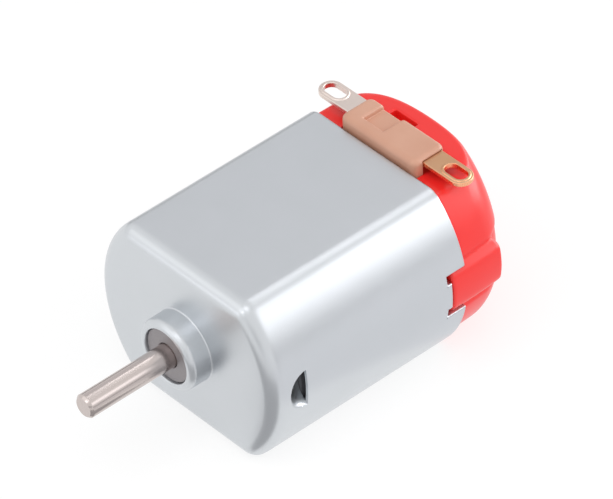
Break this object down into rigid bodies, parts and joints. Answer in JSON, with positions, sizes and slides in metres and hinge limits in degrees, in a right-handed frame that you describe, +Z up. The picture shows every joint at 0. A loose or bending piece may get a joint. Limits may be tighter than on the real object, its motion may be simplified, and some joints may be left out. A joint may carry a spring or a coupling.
{
  "type": "dc motor",
  "caption": "Small flat-sided brushed DC motor: drawn steel can, red moulded end bell, solder terminals on one flat and a plain output shaft that spins without limit.",
  "frame": {"origin": "on the shaft axis, in the plane of the can's front face", "axes": "+Y along the shaft towards the end bell, so the output end points to -Y; +Z up, out of the flat that carries the terminals; +X to the right seen from the output end"},
  "size_m": [0.02, 0.0376, 0.016],
  "materials": {
    "can_steel": "nickel-plated drawn steel, satin to bright",
    "bush": "oil-soaked sintered bronze, dull grey-brown",
    "magnet": "dark grey ferrite",
    "spring_steel": "bare spring steel",
    "end_bell": "bright coral red moulded plastic, glossy",
    "terminal_block": "tan moulded plastic, satin",
    "terminal": "tinned copper strip, warm",
    "brush": "phosphor bronze leaf",
    "shaft_steel": "ground steel, bright",
    "core_steel": "electrical steel sheet",
    "insulator": "pressed fibre board",
    "magnet_wire": "enamelled copper wire",
    "sleeve": "dark phenolic moulding",
    "segment": "turned copper",
    "ring": "fibre ring",
    "spacer": "turned brass",
    "washer": "nylon"
  },
  "bodies": {
    "stator": {"can": "can_steel", "front_bush": "bush", "rear_bush": "bush", "magnet_left": "magnet", "magnet_right": "magnet", "magnet_clip": "spring_steel", "end_bell": "end_bell", "terminal_block": "terminal_block", "terminal_left": "terminal", "terminal_right": "terminal", "brush_left": "brush", "brush_right": "brush"},
    "rotor": {"shaft": "shaft_steel", "armature_stack": "core_steel", "front_insulator": "insulator", "rear_insulator": "insulator", "coil_1": "magnet_wire", "coil_2": "magnet_wire", "coil_3": "magnet_wire", "commutator_sleeve": "sleeve", "commutator_segment_1": "segment", "commutator_segment_2": "segment", "commutator_segment_3": "segment", "commutator_ring": "ring", "front_spacer": "spacer", "front_washer": "washer", "rear_washer": "washer"}
  },
  "joints": [
    {"name": "rotor_spin", "type": "hinge", "parent": "stator", "child": "rotor", "pos_m": [0, 0, 0], "axis": [0, -1, 0], "continuous": true}
  ]
}
